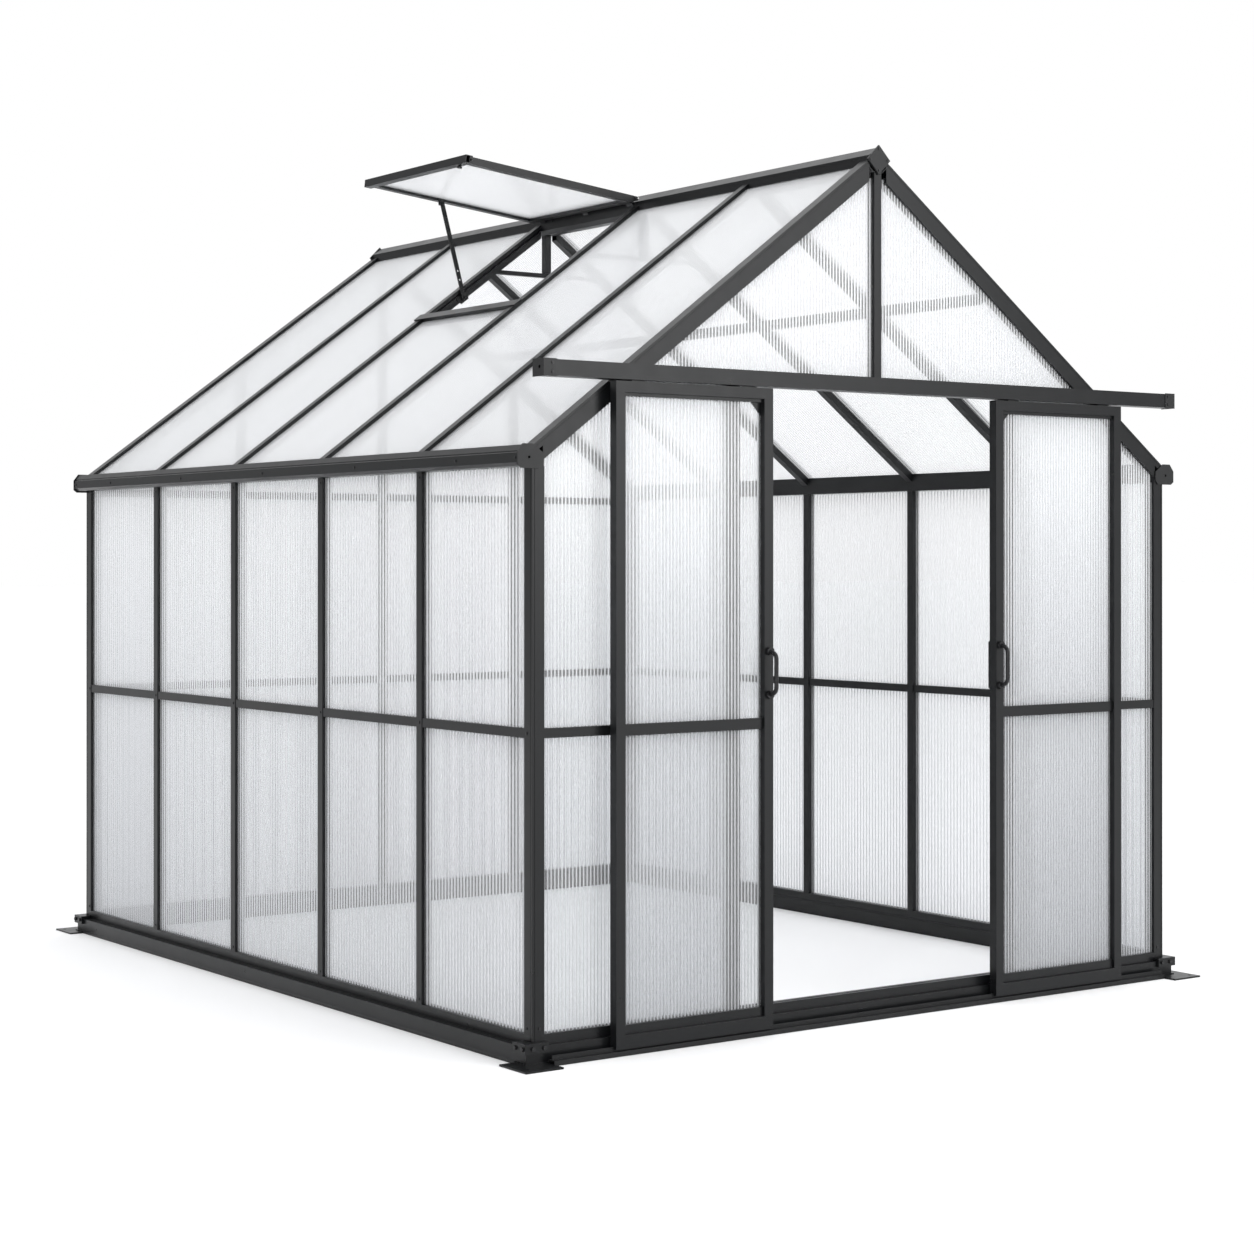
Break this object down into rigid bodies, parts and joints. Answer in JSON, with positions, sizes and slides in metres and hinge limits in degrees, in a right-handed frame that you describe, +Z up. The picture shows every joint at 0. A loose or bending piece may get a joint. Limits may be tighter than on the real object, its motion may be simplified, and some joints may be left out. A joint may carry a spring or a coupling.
{
  "type": "walk-in greenhouse",
  "caption": "Walk-in gable greenhouse with a dark aluminium frame, translucent twin-wall sheets, double sliding doors and an open roof vent.",
  "frame": {"origin": "centre of the footprint on the ground", "axes": "+Z up; ridge along Y with the sliding doors on the -Y gable; +X to the right seen from the doors; roof vent in the -X slope"},
  "size_m": [2.66, 3.184, 2.6892],
  "materials": {
    "frame": "satin charcoal powder coat",
    "caps": "satin black",
    "guide": "satin black",
    "glazing": "translucent fluted twin-wall",
    "pulls": "satin black",
    "wheels": "nylon",
    "screws": "black steel",
    "pins": "bright"
  },
  "bodies": {
    "frame": {"base_beams": "frame", "bottom_guide_rail": "guide", "corner_feet": "frame", "corner_posts": "frame", "door_header_track": "frame", "door_jambs": "frame", "eave_beams": "frame", "eave_end_caps": "caps", "end_rafters": "frame", "foot_bolts": "screws", "frame_screws": "screws", "front_gable_post": "frame", "front_lintel": "frame", "front_mid_rails": "frame", "front_wall_panels": "glazing", "header_end_caps": "caps", "left_mid_rails": "frame", "left_roof_panels": "glazing", "left_roof_rafters": "frame", "left_wall_panels": "glazing", "left_wall_studs": "frame", "rear_wall_panels": "glazing", "rear_wall_rails": "frame", "rear_wall_studs": "frame", "ridge_beam": "frame", "ridge_end_caps": "caps", "right_mid_rails": "frame", "right_roof_panels": "glazing", "right_roof_rafters": "frame", "right_wall_panels": "glazing", "right_wall_studs": "frame", "roof_purlin": "frame", "sill_channels": "frame", "truss_collar_ties": "frame", "truss_king_posts": "frame", "vent_hinge_brackets": "frame", "vent_opening_bar": "frame", "vent_stay_bracket": "frame"},
    "right_inner_wheels": {"right_inner_wheelset": "wheels"},
    "right_outer_wheels": {"right_outer_wheelset": "wheels"},
    "left_inner_wheels": {"left_inner_wheelset": "wheels"},
    "left_outer_wheels": {"left_outer_wheelset": "wheels"},
    "right_door": {"right_door_handles": "pulls", "right_door_hangers": "frame", "right_door_panels": "glazing", "right_door_rails": "frame", "right_door_stiles": "frame"},
    "left_door": {"left_door_handles": "pulls", "left_door_hangers": "frame", "left_door_panels": "glazing", "left_door_rails": "frame", "left_door_stiles": "frame"},
    "vent": {"vent_side_rails": "frame", "vent_cross_rails": "frame", "vent_panel": "glazing", "vent_hinge_knuckles": "frame", "vent_hinge_pin": "pins", "vent_stay_pivot": "frame", "vent_knob": "pulls"},
    "vent_stay_bar": {"vent_stay": "frame"}
  },
  "joints": [
    {"name": "left_door_slide", "type": "slide", "parent": "frame", "child": "left_door", "axis": [1, 0, 0], "range_m": [-0.19, 0.444]},
    {"name": "right_door_slide", "type": "slide", "parent": "frame", "child": "right_door", "axis": [-1, 0, 0], "range_m": [-0.19, 0.444]},
    {"name": "left_inner_wheels_roll", "type": "hinge", "parent": "left_door", "child": "left_inner_wheels", "pos_m": [-0.525, -1.534, 1.8916], "axis": [0, 1, 0], "range_deg": [-910, 2125]},
    {"name": "left_outer_wheels_roll", "type": "hinge", "parent": "left_door", "child": "left_outer_wheels", "pos_m": [-0.923, -1.534, 1.8916], "axis": [0, 1, 0], "range_deg": [-910, 2125]},
    {"name": "right_inner_wheels_roll", "type": "hinge", "parent": "right_door", "child": "right_inner_wheels", "pos_m": [0.525, -1.534, 1.8916], "axis": [0, 1, 0], "range_deg": [-2125, 910]},
    {"name": "right_outer_wheels_roll", "type": "hinge", "parent": "right_door", "child": "right_outer_wheels", "pos_m": [0.923, -1.534, 1.8916], "axis": [0, 1, 0], "range_deg": [-2125, 910]},
    {"name": "vent_hinge", "type": "hinge", "parent": "frame", "child": "vent", "pos_m": [-0.04322, 0, 2.60501], "axis": [0, 1, 0], "range_deg": [-42.5, 0]},
    {"name": "vent_stay_hinge", "type": "hinge", "parent": "vent", "child": "vent_stay_bar", "pos_m": [-0.45463, 0.276, 2.62338], "axis": [0, 1, 0], "range_deg": [-69.5, 0]}
  ],
  "couplings": [
    {"joint": "left_inner_wheels_roll", "follows": "left_door_slide", "rad_per_m": 83.333},
    {"joint": "left_outer_wheels_roll", "follows": "left_door_slide", "rad_per_m": 83.333},
    {"joint": "right_inner_wheels_roll", "follows": "right_door_slide", "rad_per_m": -83.333},
    {"joint": "right_outer_wheels_roll", "follows": "right_door_slide", "rad_per_m": -83.333},
    {"joint": "vent_stay_hinge", "follows": "vent_hinge", "ratio": 1.6118}
  ]
}
